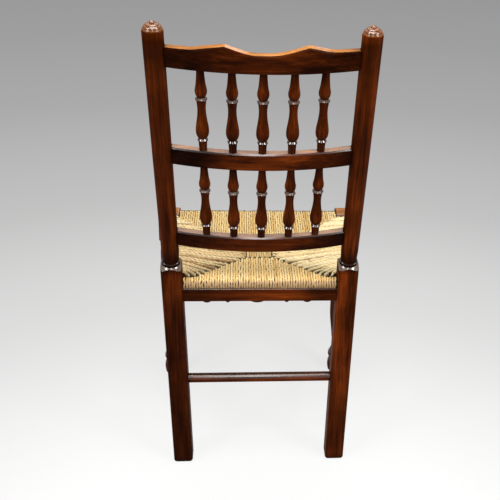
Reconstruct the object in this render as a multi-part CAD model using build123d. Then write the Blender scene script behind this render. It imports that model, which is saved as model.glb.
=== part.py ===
"""Spindle back side chair with a rush seat. Millimetres, +Z up, the front faces -Y."""

import math
import os

from build123d import *

# Whole chair
back_width = 360.0  # between the axes of the rear posts, at the bend
front_width = 436.0  # between the axes of the front legs, at their ball feet
leg_spacing = 351.0  # from the rear posts' axes at the bend to the front legs' axes
bend_height = 484.0  # where the rear legs end and the raked posts begin
back_length = 503.4  # of a raked post, from the bend to the tip of its finial
back_rake = 13.5  # degrees that the back leans backwards
leg_rake = 1.3  # degrees that the rear legs' feet stand backwards
leg_toe = 1.0  # degrees that the rear legs' feet stand inwards
seat_drop = 51.0  # from the bend down to the seat rails' axes

# Fits
tenon_play = 0.15  # between a tenon and its mortise, all round
scribe_gap = 0.3  # between a shoulder and the piece it is cut to fit
overrun = 5.0  # by which a cutting shape passes the face that it cuts

# Rear legs and posts
leg_size = 42.0
leg_edge_radius = 7.0
leg_foot_radius = 6.0
post_radius = 18.0
post_foot_radius = 17.6  # the shaft swells from here up to the middle rail
post_root = 12.0  # depth of the turned part inside the square
ledge_outer_radius = 27.6
ledge_middle_radius = 21.4
ledge_drop = 1.6
ledge_middle_height = 1.6
collar_radius = 18.6
collar_base_height = 4.2
collar_top_height = 10.0
neck_radius = 16.7
neck_height = 19.0
post_start_height = 36.0
finial_height = 18.7
dome_height = 16.0
dome_groove = 0.9
dome_ring_angles = (0.0, 33.0, 51.0, 67.0)  # degrees up the dome between its rings
button_radius = 4.6
button_seat_height = 0.4

# Back rails
rail_height = 34.4
crest_height = 35.4  # of the crest rail at its ends
rail_thickness = 17.0
rail_chamfer = 1.6
rail_top_chamfer = 2.6
rail_bow = 22.0  # rise of a rail's curve between the post faces
rail_tenon_thickness = 9.0
rail_tenon_shoulder = 4.0  # by which a tenon is lower than its rail, above and below
rail_tenon_reach = 3.0  # by which a tenon passes the post's axis
lower_rail_rise = 53.6  # from the bend to the lower rail's underside, along the post
crest_drop = 41.4  # from the tips of the finials down to the crest rail's level top edge
crest_cusp_rise = 10.0
crest_cusp_offsets = {"left": 65.0, "right": 75.0}  # the outline is sawn by eye
crest_cusp_radius = 7.0
crest_dip = 3.3
crest_flat_offset = 127.0  # from the middle to where the crest's ends run level
crest_flank_offset = 102.0
crest_flank_rise = 3.6
crest_end_drop = 1.2
crest_flank_slope_share = 0.17  # rise over run at the cusp, outside
crest_hollow_share = 0.6  # of the way from the middle to the cusp
crest_hollow_rise = 2.0
crest_basin_share = 0.28
crest_basin_dip = 2.6
crest_hollow_slope_share = 0.27  # rise over run at the cusp, inside

# Spindles
spindle_count = 5
spindle_pitch = 52.7
spindle_tenon_radius = 4.5
spindle_tenon_length = 10.0
spindle_pin_radius = 6.9
spindle_cove_radius = 7.5
spindle_lower_ring_radius = 9.3
spindle_belly_radius = 11.6
spindle_waist_radius = 7.4
spindle_flare_radius = 8.3
spindle_upper_ring_radius = 10.4
spindle_bulb_radius = 10.5
spindle_groove_radius = 6.6
spindle_neck_radius = 6.6
ring_edge_height = 1.0
lower_ring_height_shares = (0.085, 0.133, 0.156)  # cove, rim and groove
belly_height_shares = (0.185, 0.275, 0.385, 0.500, 0.605)
upper_ring_height_shares = (0.605, 0.652, 0.675)
bulb_height_shares = (0.700, 0.755, 0.805, 0.870, 0.930)
ring_bend_shares = (0.25, 0.60)  # of a cove's width and height, at its middle
belly_shoulder_share = 0.64  # of the way from groove to belly, where the belly begins to round
belly_taper_share = 0.45
bulb_shoulder_share = 0.62
bulb_taper_shares = (0.66, 0.32, 0.11)

# Front legs
block_size = 51.0
block_height = 70.0
block_rise = 28.0  # of the legs' tops above the seat rails' axes
block_edge_radius = 4.0
block_crown_drop = 2.6  # from the middle of a block's domed top to its sides
block_crown_radius = 5.0
front_leg_leans = {"left": 0.67, "right": 0.0}  # degrees that the legs' tops stand inwards
block_ledge_drop = 3.0
shaft_radius = 25.5
shaft_neck_radius = 20.0
shaft_neck_drop = 19.0  # below the block, as are the next two
shaft_bead_radius = 23.5
shaft_bead_drop = 6.0
shaft_top_drop = 41.0
shaft_bottom_height = 212.0
shaft_upper_height = 155.0
shaft_upper_radius = 23.7
shaft_lower_height = 118.0
shaft_lower_radius = 19.5
shaft_slim_height = 84.0
shaft_slim_radius = 15.8
ankle_height = 72.0
ankle_radius = 16.4
anklet_radius = 25.0
anklet_top_height = 52.0
anklet_bottom_height = 45.0
instep_radius = 21.3
instep_height = 38.5
ball_radius = 25.5
ball_height = 20.0
foot_radius = 24.0
foot_edge_height = 2.0

# Seat rails and rush
seat_rail_height = 30.0
seat_rail_width = 18.0
seat_rail_edge_radius = 6.0
seat_tenon_radius = 7.0
seat_tenon_stop = 9.0  # from a tenon's end to the point where the rails' axes meet
rear_rail_setback = 3.0  # of the rear seat rail's axis, in front of the rear legs' axes
rush_thickness = 5.2
rush_edge_radius = 13.0
stuffing_gap = 0.6

# Edging strips and their pins
strip_height = 28.0
strip_thickness = 5.0
strip_rise = 2.0  # of the strips' top edges above the seat rails' axes
strip_edge_radius = 1.2
pin_shank_radius = 0.8
pin_length = 17.0
pin_head_radius = 1.2
pin_head_height = 0.5
pin_drop = 9.0  # from a strip's top edge to its row of pins
rear_pin_shares = (-0.82, -0.28, 0.28, 0.82)  # of half a strip's length
side_pin_shares = (-0.78, 0.0, 0.78)

# Stretchers
stretcher_tenon_radius = 7.0
stretcher_tenon_stop = 6.0  # from a tenon's end to the leg's axis
rear_stretcher_height = 212.5
rear_stretcher_radius = 10.5
side_stretcher_radius = 10.0
side_stretcher_end_radius = 8.2
side_stretcher_heights = (150.0, 290.0)
front_stretcher_height = 224.0
front_stretcher_radius = 11.5
front_stretcher_end_radius = 9.5
front_bulb_radius = 18.0
front_bulb_half_length = 31.0
front_cove_radius = 9.0
front_ring_offset = 76.0
front_ring_radius = 17.6
front_ring_half_width = 6.0
front_knop_offset = 129.5
front_knop_radius = 17.8
front_knop_half_length = 13.0

# Worked out from the sizes above
rake = math.radians(back_rake)
seat_level = bend_height - seat_drop
front_block_top = seat_level + block_rise
block_bottom = front_block_top - block_height
bow_half_span = back_width / 2 - post_radius
bow_radius = (bow_half_span**2 + rail_bow**2) / (2 * rail_bow)
crest_rise = back_length - crest_drop - crest_height
spindle_show = (crest_rise - lower_rail_rise - 2 * rail_height) / 2
middle_rail_rise = lower_rail_rise + rail_height + spindle_show
back_reach = (crest_rise + crest_height - crest_dip) * math.sin(rake)
back_reach += (rail_bow + rail_thickness / 2) * math.cos(rake)
back_reach -= rail_top_chamfer * min(math.sin(rake), math.cos(rake))
rear_y = (leg_spacing + block_size / 2 - back_reach) / 2
front_y = rear_y - leg_spacing
back_frame = Plane(
    origin=(0, rear_y, bend_height),
    x_dir=(1, 0, 0),
    z_dir=(0, math.sin(rake), math.cos(rake)),
).location
sides = {"left": 1, "right": -1}


def turning(curves):
    """Solid turned about Z. The curves give radius and height, from the bottom up."""
    start = curves[0] @ 0
    end = curves[-1] @ 1
    corners = [end, Vector(0, start.Y), start]
    if round(end.X):
        corners.insert(1, Vector(0, end.Y))
    outline = Curve() + curves + Polyline(*corners)
    return revolve(Plane.XZ * make_face(outline), axis=Axis.Z)


def member_frame(start, end):
    """Place at start, with Z towards end and X upwards, for a level member."""
    return Plane(origin=start, x_dir=(0, 0, 1), z_dir=end - start).location


def rod(start, end, radius, trim=0.0, trim_end=None):
    """Round bar from start to end, shortened at each end."""
    tail = trim if trim_end is None else trim_end
    length = (end - start).length - trim - tail
    bar = Pos(0, 0, trim) * extrude(Circle(radius), amount=length)
    return member_frame(start, end) * bar


def rear_leg_axis(side, height):
    """Point on a rear leg's axis at a height under the bend."""
    drop = bend_height - height
    x = back_width / 2 - drop * math.tan(math.radians(leg_toe))
    y = rear_y + drop * math.tan(math.radians(leg_rake))
    return Vector(side * x, y, height)


def front_leg_lean(side):
    return math.radians(front_leg_leans["left" if side > 0 else "right"])


def front_leg_axis(side, height):
    """Point on a front leg's axis at a height."""
    shift = (height - ball_height) * math.tan(front_leg_lean(side))
    return Vector(side * (front_width / 2 - shift), front_y, height)


def front_leg_frame(side):
    """Place of a front leg, with Z up its axis, sunk so that the floor cuts its whole foot."""
    foot = front_leg_axis(side, 0)
    sink = Vector(0, 0, foot_radius * math.sin(front_leg_lean(side)))
    up = front_leg_axis(side, bend_height) - foot
    return Plane(origin=foot - sink, x_dir=(up.Z, 0, -up.X), z_dir=up).location


def rear_leg_prism(side, top, grow=0.0):
    """The square of a rear leg, cut level at the floor and at top."""
    foot = rear_leg_axis(side, 0)
    head = rear_leg_axis(side, top)
    size = leg_size + 2 * grow
    section = Pos(foot.X, foot.Y) * RectangleRounded(size, size, leg_edge_radius)
    return extrude(section, amount=(head - foot).length, dir=head - foot)


def front_block(side, grow=0.0):
    """The square top of a front leg."""
    size = block_size + 2 * grow
    base = block_bottom - block_ledge_drop - grow
    section = RectangleRounded(size, size, block_edge_radius)
    block = Pos(0, 0, base) * extrude(section, amount=front_block_top + grow - base)
    return front_leg_frame(side) * block


# Joints


def round_tenon(start, end, radius, stop, play=0.0):
    """Bar that holds both round tenons of a member, or with play, their two holes."""
    return rod(start, end, radius + play, stop - play)


# Rear posts


def finial_curves():
    """Dome in rings, a thin seat and a button, on the end of a post."""
    base = back_length - finial_height

    def on_dome(angle, inset):
        turn = math.radians(angle)
        width = post_radius - inset
        return (width * math.cos(turn), base + (dome_height - inset) * math.sin(turn))

    curves = []
    for low, high in zip(dome_ring_angles[:-1], dome_ring_angles[1:]):
        if curves:
            curves.append(Line(curves[-1] @ 1, on_dome(low, 0)))
        middle = on_dome((low + high) / 2, 0)
        curves.append(ThreePointArc(on_dome(low, 0), middle, on_dome(high, dome_groove)))
    seat = (curves[-1] @ 1).Y + button_seat_height
    rise = back_length - seat
    cap_radius = (button_radius**2 + rise**2) / (2 * rise)
    curves.append(Line(curves[-1] @ 1, (button_radius, seat)))
    curves.append(RadiusArc((button_radius, seat), (0, back_length), -cap_radius))
    return curves


def turned_post():
    """Collar, neck, plain shaft and finial, standing on the bend."""
    finial = finial_curves()
    curves = [Line((collar_radius, -post_root), (collar_radius, collar_top_height))]
    curves.append(
        Spline(
            (collar_radius, collar_top_height),
            (neck_radius, neck_height),
            (post_foot_radius, post_start_height),
            tangents=((-1, 1), (0, 1)),
        )
    )
    curves.append(Line((post_foot_radius, post_start_height), (post_radius, middle_rail_rise)))
    curves.append(Line((post_radius, middle_rail_rise), finial[0] @ 0))
    return turning(curves + finial)


def pommel_cutter():
    """All that lies above the ledge where the square turns to round."""
    ledge = ThreePointArc(
        (collar_radius, collar_base_height),
        (ledge_middle_radius, ledge_middle_height),
        (ledge_outer_radius, -ledge_drop),
    )
    far = leg_size
    shape = Polyline(
        (ledge_outer_radius, -ledge_drop),
        (far, -ledge_drop),
        (far, far),
        (0, far),
        (0, collar_base_height),
        (collar_radius, collar_base_height),
    )
    return revolve(Plane.XZ * make_face(ledge + shape), axis=Axis.Z)


def back_post(side):
    top = back_frame * Pos(side * back_width / 2, 0, 0)
    leg = rear_leg_prism(side, bend_height + leg_size / 2)
    leg = leg - top * pommel_cutter()
    leg = fillet(leg.faces().sort_by(Axis.Z)[0].edges(), leg_foot_radius)
    post = leg + top * turned_post()
    post -= back_frame * rail_tenons(lower_rail_rise, rail_height, tenon_play)
    post -= back_frame * rail_tenons(middle_rail_rise, rail_height, tenon_play)
    post -= back_frame * rail_tenons(crest_rise, crest_height, tenon_play)
    post -= round_tenon(*seat_rail_ends("rear"), seat_tenon_radius, seat_tenon_stop, tenon_play)
    post -= seat_rail_holes(side)
    post -= rear_stretcher_tenons(tenon_play)
    for height in side_stretcher_heights:
        post -= side_stretcher_tenons(side, height, tenon_play)
    return post


# Back rails, in the frame of the back: X across, Y backwards, Z up the posts


def bow(x):
    """How far a rail's centre line lies behind the posts' plane."""
    return rail_bow - bow_radius + math.sqrt(bow_radius**2 - x**2)


def bow_band(thickness, half_length):
    """Plan of a bowed rail."""
    ring = Circle(bow_radius + thickness / 2) - Circle(bow_radius - thickness / 2)
    window = Pos(0, bow_radius) * Rectangle(2 * half_length, bow_radius)
    return Pos(0, rail_bow - bow_radius) * (ring & window)


def rail_tenons(rise, height, play=0.0):
    """Bar that holds both tenons of a back rail."""
    plan = bow_band(rail_tenon_thickness + 2 * play, back_width / 2 + rail_tenon_reach + play)
    tall = height - 2 * rail_tenon_shoulder + 2 * play
    return Pos(0, 0, rise + rail_tenon_shoulder - play) * extrude(plan, amount=tall)


def spindle_places():
    middle = (spindle_count - 1) / 2
    return [(number - middle) * spindle_pitch for number in range(spindle_count)]


def spindle_holes(level, depth):
    """Holes for a row of spindles, upwards from level, or downwards if depth is negative."""
    low = min(level, level + depth)
    hole = extrude(Circle(spindle_tenon_radius + tenon_play), amount=abs(depth))
    return [Pos(x, bow(x), low) * hole for x in spindle_places()]


def ease_edges(body, height):
    """Chamfer a rail's edges, more at the top, but not those at its two ends."""
    for size, is_top in ((rail_chamfer, False), (rail_top_chamfer, True)):
        ends = body.faces().filter_by(Axis.X).edges()
        rims = [edge for edge in body.edges() if edge not in ends]
        body = chamfer([edge for edge in rims if (edge.center().Z > height / 2) == is_top], size)
    return body


def finish_rail(body, rise, height, holes):
    """Cut a rail's ends to the posts, then add its tenons and the spindles' holes."""
    for side in sides.values():
        body -= Pos(side * back_width / 2, 0, 0) * Cylinder(post_radius + scribe_gap, 2 * back_length)
    body += rail_tenons(rise, height)
    for hole in holes:
        body -= hole
    return back_frame * body


def plain_rail(rise, below, above):
    """Middle or lower rail, with holes for spindles below, above or both."""
    body = extrude(bow_band(rail_thickness, back_width / 2), amount=rail_height)
    body = Pos(0, 0, rise) * ease_edges(body, rail_height)
    depth = spindle_tenon_length + tenon_play
    holes = spindle_holes(rise, depth) if below else []
    if above:
        holes = holes + spindle_holes(rise + rail_height, -depth)
    return finish_rail(body, rise, rail_height, holes)


def crest_half(cusp_offset):
    """One half of the crest rail in front view, with its cusp at an offset from the middle."""
    half = back_width / 2
    level = crest_height
    cusp = (cusp_offset, level + crest_cusp_rise)
    end = Line((half, level - crest_end_drop), (crest_flat_offset, level))
    flank = Spline(
        (crest_flat_offset, level),
        (crest_flank_offset, level + crest_flank_rise),
        cusp,
        tangents=((-1, 0), (-1, crest_flank_slope_share)),
    )
    hollow = Spline(
        cusp,
        (crest_hollow_share * cusp_offset, level + crest_hollow_rise),
        (crest_basin_share * cusp_offset, level - crest_basin_dip),
        (0, level - crest_dip),
        tangents=((-1, -crest_hollow_slope_share), (-1, 0)),
    )
    rest = Polyline((0, level - crest_dip), (0, 0), (half, 0), (half, level - crest_end_drop))
    face = make_face(rest + end + flank + hollow)
    return fillet(face.vertices().sort_by(Axis.Y)[-1], crest_cusp_radius)


def crest_outline():
    """Front view of the crest rail: two cusps with a dipped middle between them."""
    left = crest_half(crest_cusp_offsets["left"])
    right = crest_half(crest_cusp_offsets["right"])
    return left + mirror(right, about=Plane.YZ)


def crest_rail():
    tall = crest_height + 2 * crest_cusp_rise
    body = extrude(bow_band(rail_thickness, back_width / 2), amount=tall)
    body &= extrude(Plane.XZ * crest_outline(), amount=back_width, both=True)
    body = Pos(0, 0, crest_rise) * ease_edges(body, crest_height)
    holes = spindle_holes(crest_rise, spindle_tenon_length + tenon_play)
    return finish_rail(body, crest_rise, crest_height, holes)


# Spindles


def ring_curves(shares, under_radius, ring_radius):
    """A ring on a spindle: cove, upright rim and a shelf that slopes up to the groove."""
    cove, rim, groove = [share * spindle_show for share in shares]
    low = rim - ring_edge_height / 2
    high = rim + ring_edge_height / 2
    bend = (
        under_radius + ring_bend_shares[0] * (ring_radius - under_radius),
        cove + ring_bend_shares[1] * (low - cove),
    )
    return [
        ThreePointArc((under_radius, cove), bend, (ring_radius, low)),
        Line((ring_radius, low), (ring_radius, high)),
        Line((ring_radius, high), (spindle_groove_radius, groove)),
    ]


def spindle_curves():
    """Outline of a spindle between its tenons: ring, belly, upper ring and bulb."""
    belly = [share * spindle_show for share in belly_height_shares]
    bulb = [share * spindle_show for share in bulb_height_shares]
    lower_ring = ring_curves(
        lower_ring_height_shares, spindle_cove_radius, spindle_lower_ring_radius
    )
    upper_ring = ring_curves(
        upper_ring_height_shares, spindle_flare_radius, spindle_upper_ring_radius
    )
    belly_rise = spindle_belly_radius - spindle_groove_radius
    belly_fall = spindle_belly_radius - spindle_waist_radius
    bulb_rise = spindle_bulb_radius - spindle_groove_radius
    bulb_fall = spindle_bulb_radius - spindle_neck_radius
    belly_curve = Spline(
        lower_ring[-1] @ 1,
        (spindle_groove_radius + belly_rise * belly_shoulder_share, belly[0]),
        (spindle_belly_radius, belly[1]),
        (spindle_waist_radius + belly_fall * belly_taper_share, belly[2]),
        (spindle_waist_radius, belly[3]),
        upper_ring[0] @ 0,
    )
    tapers = [spindle_neck_radius + bulb_fall * share for share in bulb_taper_shares]
    bulb_curve = Spline(
        upper_ring[-1] @ 1,
        (spindle_groove_radius + bulb_rise * bulb_shoulder_share, bulb[0]),
        (spindle_bulb_radius, bulb[1]),
        *zip(tapers, bulb[2:]),
        (spindle_neck_radius, spindle_show),
    )
    pin = Line((spindle_pin_radius, 0), lower_ring[0] @ 0)
    return [pin] + lower_ring + [belly_curve] + upper_ring + [bulb_curve]


def spindle(x, rise):
    """Spindle standing on a rail's top edge at x."""
    low_tenon = [
        Line((spindle_tenon_radius, -spindle_tenon_length), (spindle_tenon_radius, 0)),
        Line((spindle_tenon_radius, 0), (spindle_pin_radius, 0)),
    ]
    top = spindle_show + spindle_tenon_length
    high_tenon = [
        Line((spindle_neck_radius, spindle_show), (spindle_tenon_radius, spindle_show)),
        Line((spindle_tenon_radius, spindle_show), (spindle_tenon_radius, top)),
    ]
    body = turning(low_tenon + spindle_curves() + high_tenon)
    return back_frame * Pos(x, bow(x), rise + rail_height) * body


# Front legs


def front_leg_curves():
    """Ball foot, ring, tapered shaft and neck, up to the square top."""
    shaft_top = block_bottom - shaft_top_drop
    neck = (shaft_neck_radius, block_bottom - shaft_neck_drop)
    bead = (shaft_bead_radius, block_bottom - shaft_bead_drop)
    return [
        Line((foot_radius, 0), (foot_radius, foot_edge_height)),
        ThreePointArc(
            (foot_radius, foot_edge_height),
            (ball_radius, ball_height),
            (instep_radius, instep_height),
        ),
        Line((instep_radius, instep_height), (anklet_radius, anklet_bottom_height)),
        Line((anklet_radius, anklet_bottom_height), (anklet_radius, anklet_top_height)),
        Line((anklet_radius, anklet_top_height), (ankle_radius, ankle_height)),
        Spline(
            (ankle_radius, ankle_height),
            (shaft_slim_radius, shaft_slim_height),
            (shaft_lower_radius, shaft_lower_height),
            (shaft_upper_radius, shaft_upper_height),
            (shaft_radius, shaft_bottom_height),
            tangents=((-1, anklet_radius / ankle_radius), (0, 1)),
        ),
        Line((shaft_radius, shaft_bottom_height), (shaft_radius, shaft_top)),
        Spline((shaft_radius, shaft_top), neck, bead, tangents=((0, 1), (1, 1))),
        Line(bead, (shaft_bead_radius, block_bottom + overrun)),
    ]


def block_cutter():
    """All that lies outside the shaft under the ledge of the square top."""
    far = block_size
    low = block_bottom - far
    start = (shaft_bead_radius, block_bottom - block_ledge_drop)
    edge = (far, block_bottom + block_ledge_drop)
    shape = Polyline(start, edge, (far, low), (shaft_bead_radius, low), start)
    return revolve(Plane.XZ * make_face(shape), axis=Axis.Z)


def crown():
    """Domed and rounded top that a block is cut to, across and along alike."""
    half = block_size / 2
    edge = front_block_top - block_crown_drop
    arc = ThreePointArc((half, edge), (0, front_block_top), (-half, edge))
    sides_and_base = Polyline((-half, edge), (-half, 0), (half, 0), (half, edge))
    face = make_face(arc + sides_and_base)
    face = fillet(face.vertices().sort_by(Axis.Y)[-2:], block_crown_radius)
    across = extrude(Plane.XZ * face, amount=half, both=True)
    return across & Rot(0, 0, 90) * across


def front_leg(side):
    place = front_leg_frame(side)
    leg = front_block(side) & place * crown()
    leg -= place * block_cutter()
    leg += place * turning(front_leg_curves())
    leg -= Pos(0, 0, -block_size / 2) * Box(2 * front_width, 2 * leg_spacing, block_size)
    leg -= round_tenon(*seat_rail_ends("front"), seat_tenon_radius, seat_tenon_stop, tenon_play)
    leg -= seat_rail_holes(side)
    leg -= front_stretcher_tenons(tenon_play)
    for height in side_stretcher_heights:
        leg -= side_stretcher_tenons(side, height, tenon_play)
    return leg


# Seat rails


def seat_corner(side, row):
    """Point inside a leg where the axes of two seat rails meet."""
    if row == "front":
        return front_leg_axis(side, seat_level)
    return rear_leg_axis(side, seat_level) - Vector(0, rear_rail_setback, 0)


def seat_rail_ends(name):
    if name in sides:
        return seat_corner(sides[name], "rear"), seat_corner(sides[name], "front")
    return seat_corner(-1, name), seat_corner(1, name)


def seat_rail_holes(side):
    """Holes for a side rail's tenons in its two legs."""
    name = "left" if side > 0 else "right"
    return round_tenon(*seat_rail_ends(name), seat_tenon_radius, seat_tenon_stop, tenon_play)


def seat_rail(name):
    start, end = seat_rail_ends(name)
    section = RectangleRounded(seat_rail_height, seat_rail_width, seat_rail_edge_radius)
    bar = member_frame(start, end) * extrude(section, amount=(end - start).length)
    for side in sides.values():
        bar -= rear_leg_prism(side, bend_height)
        bar -= front_block(side)
    rail = bar + round_tenon(start, end, seat_tenon_radius, seat_tenon_stop)
    return rail - pin_holes()


# Rush seat


def seat_plan(margin):
    """Outline round the seat rails' axes, at a distance outside them."""
    rear_right, rear_left = seat_rail_ends("rear")
    front_right, front_left = seat_rail_ends("front")
    corners = [rear_left, rear_right, front_right, front_left]
    flat = [(point.X, point.Y) for point in corners]
    return offset(make_face(Polyline(*flat, close=True)), amount=margin, kind=Kind.INTERSECTION)


def rush_margin(depth):
    """Distance from the rails' axes to a surface that deep inside the rush."""
    return seat_rail_width / 2 + scribe_gap + rush_thickness - depth


def seat_slab(margin, half_height):
    slab = extrude(seat_plan(margin), amount=2 * half_height)
    return Pos(0, 0, seat_level - half_height) * slab


def legs_at_seat(grow):
    shapes = [rear_leg_prism(side, bend_height, grow) for side in sides.values()]
    return shapes + [front_block(side, grow) for side in sides.values()]


def rush_seat():
    """Skin of woven rush round the rails and the stuffing."""
    half = seat_rail_height / 2 + scribe_gap + rush_thickness
    skin = seat_slab(rush_margin(0), half)
    level_edges = skin.edges().filter_by(Plane.XY)
    skin = fillet(level_edges, rush_edge_radius)
    hollow = seat_slab(rush_margin(rush_thickness), half - rush_thickness)
    hollow = fillet(hollow.edges().filter_by(Plane.XY), seat_rail_edge_radius)
    skin -= hollow
    for leg in legs_at_seat(scribe_gap):
        skin -= leg
    return skin - pin_holes()


def seat_stuffing():
    """Pad between the rails and between the two layers of rush."""
    margin = -seat_rail_width / 2 - stuffing_gap
    pad = seat_slab(margin, seat_rail_height / 2)
    for leg in legs_at_seat(stuffing_gap):
        pad -= leg
    return pad


# Edging strips


def strip_line(name):
    """The two ends of a strip's middle line, at the height of its top edge."""
    start, end = seat_rail_ends(name)
    along = (end - start).normalized()
    out = Vector(along.Y, -along.X, 0)
    if out.dot(start - Vector(0, (rear_y + front_y) / 2, start.Z)) < 0:
        out = -out
    shift = out * (rush_margin(0) + scribe_gap + strip_thickness / 2)
    lift = Vector(0, 0, strip_rise)
    return start + shift + lift, end + shift + lift, out


def edging_strip(name):
    start, end, out = strip_line(name)
    section = RectangleRounded(strip_height, strip_thickness, strip_edge_radius)
    body = extrude(section, amount=(end - start).length)
    strip = member_frame(start, end) * Pos(-strip_height / 2, 0, 0) * body
    for leg in legs_at_seat(scribe_gap):
        strip -= leg
    return strip - pin_holes()


def pin_places():
    """Foot point and outward direction of each pin's head."""
    places = []
    for name in ("front", "rear", "left", "right"):
        start, end, out = strip_line(name)
        centre = (start + end) / 2 + out * strip_thickness / 2
        shares = rear_pin_shares if name in ("front", "rear") else side_pin_shares
        reach = (end - start).length / 2 - leg_size
        along = (end - start).normalized()
        for share in shares:
            spot = centre + along * (share * reach) - Vector(0, 0, pin_drop)
            places.append(Plane(origin=spot, x_dir=along, z_dir=out).location)
    return places


def pin_holes():
    bore = Pos(0, 0, -pin_length - scribe_gap)
    hole = bore * extrude(Circle(pin_shank_radius + tenon_play), amount=pin_length + overrun)
    return [place * hole for place in pin_places()]


def edging_pins():
    shank = Pos(0, 0, -pin_length) * extrude(Circle(pin_shank_radius), amount=pin_length)
    pin = shank + extrude(Circle(pin_head_radius), amount=pin_head_height)
    return Compound([(place * pin).solid() for place in pin_places()])


# Stretchers


def rear_stretcher_ends():
    return rear_leg_axis(-1, rear_stretcher_height), rear_leg_axis(1, rear_stretcher_height)


def rear_stretcher_tenons(play=0.0):
    return round_tenon(*rear_stretcher_ends(), stretcher_tenon_radius, stretcher_tenon_stop, play)


def rear_stretcher():
    start, end = rear_stretcher_ends()
    body = rod(start, end, rear_stretcher_radius)
    for side in sides.values():
        body -= rear_leg_prism(side, bend_height)
    return body + rear_stretcher_tenons()


def side_stretcher_ends(side, height):
    return rear_leg_axis(side, height), front_leg_axis(side, height)


def side_stretcher_tenons(side, height, play=0.0):
    start, end = side_stretcher_ends(side, height)
    return round_tenon(start, end, stretcher_tenon_radius, stretcher_tenon_stop, play)


def side_stretcher(side, height):
    """Round bar that swells in the middle and narrows to its tenons."""
    start, end = side_stretcher_ends(side, height)
    tail = leg_size / 2 - overrun
    nose = (end - start).length - shaft_radius - scribe_gap
    outline = ThreePointArc(
        (side_stretcher_end_radius, tail),
        (side_stretcher_radius, (tail + nose) / 2),
        (side_stretcher_end_radius, nose),
    )
    body = member_frame(start, end) * turning([outline])
    body -= rear_leg_prism(side, bend_height)
    return body + side_stretcher_tenons(side, height)


def front_stretcher_ends():
    return front_leg_axis(-1, front_stretcher_height), front_leg_axis(1, front_stretcher_height)


def front_stretcher_tenons(play=0.0):
    return round_tenon(*front_stretcher_ends(), stretcher_tenon_radius, stretcher_tenon_stop, play)


def front_stretcher_half(reach):
    """Outline from the middle to one end: bulb, ring, knop and tapered end."""
    end = reach - shaft_radius - scribe_gap
    ring_low = front_ring_offset - front_ring_half_width
    ring_high = front_ring_offset + front_ring_half_width
    knop_low = front_knop_offset - front_knop_half_length
    knop_high = front_knop_offset + front_knop_half_length
    flank = (front_bulb_half_length + ring_low) / 2
    return [
        Spline(
            (front_bulb_radius, 0),
            (front_cove_radius, front_bulb_half_length),
            (front_stretcher_radius, flank),
            tangents=((0, 1), (0, 1)),
        ),
        Line((front_stretcher_radius, flank), (front_stretcher_radius, ring_low)),
        ThreePointArc(
            (front_stretcher_radius, ring_low),
            (front_ring_radius, front_ring_offset),
            (front_stretcher_radius, ring_high),
        ),
        Line((front_stretcher_radius, ring_high), (front_stretcher_radius, knop_low)),
        ThreePointArc(
            (front_stretcher_radius, knop_low),
            (front_knop_radius, front_knop_offset),
            (front_stretcher_radius, knop_high),
        ),
        Line((front_stretcher_radius, knop_high), (front_stretcher_end_radius, end)),
    ]


def front_stretcher():
    start, end = front_stretcher_ends()
    reach = (end - start).length / 2
    half = turning(front_stretcher_half(reach))
    body = half + mirror(half, about=Plane.XY)
    return member_frame(start, end) * Pos(0, 0, reach) * body + front_stretcher_tenons()


# All nodes


def build_chair():
    chair = {}
    for name, side in sides.items():
        chair["back_post_" + name] = back_post(side)
        chair["front_leg_" + name] = front_leg(side)
        for level, height in zip(("lower", "upper"), side_stretcher_heights):
            chair["side_stretcher_" + level + "_" + name] = side_stretcher(side, height)
    chair["crest_rail"] = crest_rail()
    chair["middle_rail"] = plain_rail(middle_rail_rise, True, True)
    chair["lower_rail"] = plain_rail(lower_rail_rise, False, True)
    for number, x in enumerate(spindle_places(), start=1):
        chair["lower_spindle_" + str(number)] = spindle(x, lower_rail_rise)
        chair["upper_spindle_" + str(number)] = spindle(x, middle_rail_rise)
    for name in ("front", "rear", "left", "right"):
        chair["seat_rail_" + name] = seat_rail(name)
        chair["edging_strip_" + name] = edging_strip(name)
    chair["edging_pins"] = edging_pins()
    chair["rush_seat"] = rush_seat()
    chair["seat_stuffing"] = seat_stuffing()
    chair["rear_stretcher"] = rear_stretcher()
    chair["front_stretcher"] = front_stretcher()
    return chair


os.makedirs("parts", exist_ok=True)
for node, shape in build_chair().items():
    export_step(shape, os.path.join("parts", node + ".step"))
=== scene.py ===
"""Looks of the spindle back chair: polished wood, a seat of twisted rush, studio and camera."""

import math

import bpy
import numpy as np
from mathutils import Matrix, Vector


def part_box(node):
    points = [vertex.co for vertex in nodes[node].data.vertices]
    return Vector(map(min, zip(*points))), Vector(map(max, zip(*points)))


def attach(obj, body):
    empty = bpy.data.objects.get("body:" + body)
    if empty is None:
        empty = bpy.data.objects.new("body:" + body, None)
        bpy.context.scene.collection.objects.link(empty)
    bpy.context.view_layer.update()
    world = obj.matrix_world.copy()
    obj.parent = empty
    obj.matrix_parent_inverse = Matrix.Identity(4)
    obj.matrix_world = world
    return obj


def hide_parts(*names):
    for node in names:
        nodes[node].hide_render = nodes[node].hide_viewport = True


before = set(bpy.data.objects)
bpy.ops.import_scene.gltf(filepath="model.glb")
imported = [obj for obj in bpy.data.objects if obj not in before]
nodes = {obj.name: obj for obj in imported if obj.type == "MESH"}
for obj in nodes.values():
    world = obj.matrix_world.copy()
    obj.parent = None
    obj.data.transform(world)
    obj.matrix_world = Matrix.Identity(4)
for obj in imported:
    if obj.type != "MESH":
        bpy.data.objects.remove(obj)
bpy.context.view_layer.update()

# Chair's driving sizes, in metres like all lengths here
back_width = 0.360
front_width = 0.436
leg_spacing = 0.351
bend_height = 0.484
seat_level = bend_height - 0.051
back_rake = math.radians(13.5)
leg_rake = math.radians(1.3)
leg_toe = math.radians(1.0)
leg_size = 0.042
block_size = 0.051
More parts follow.
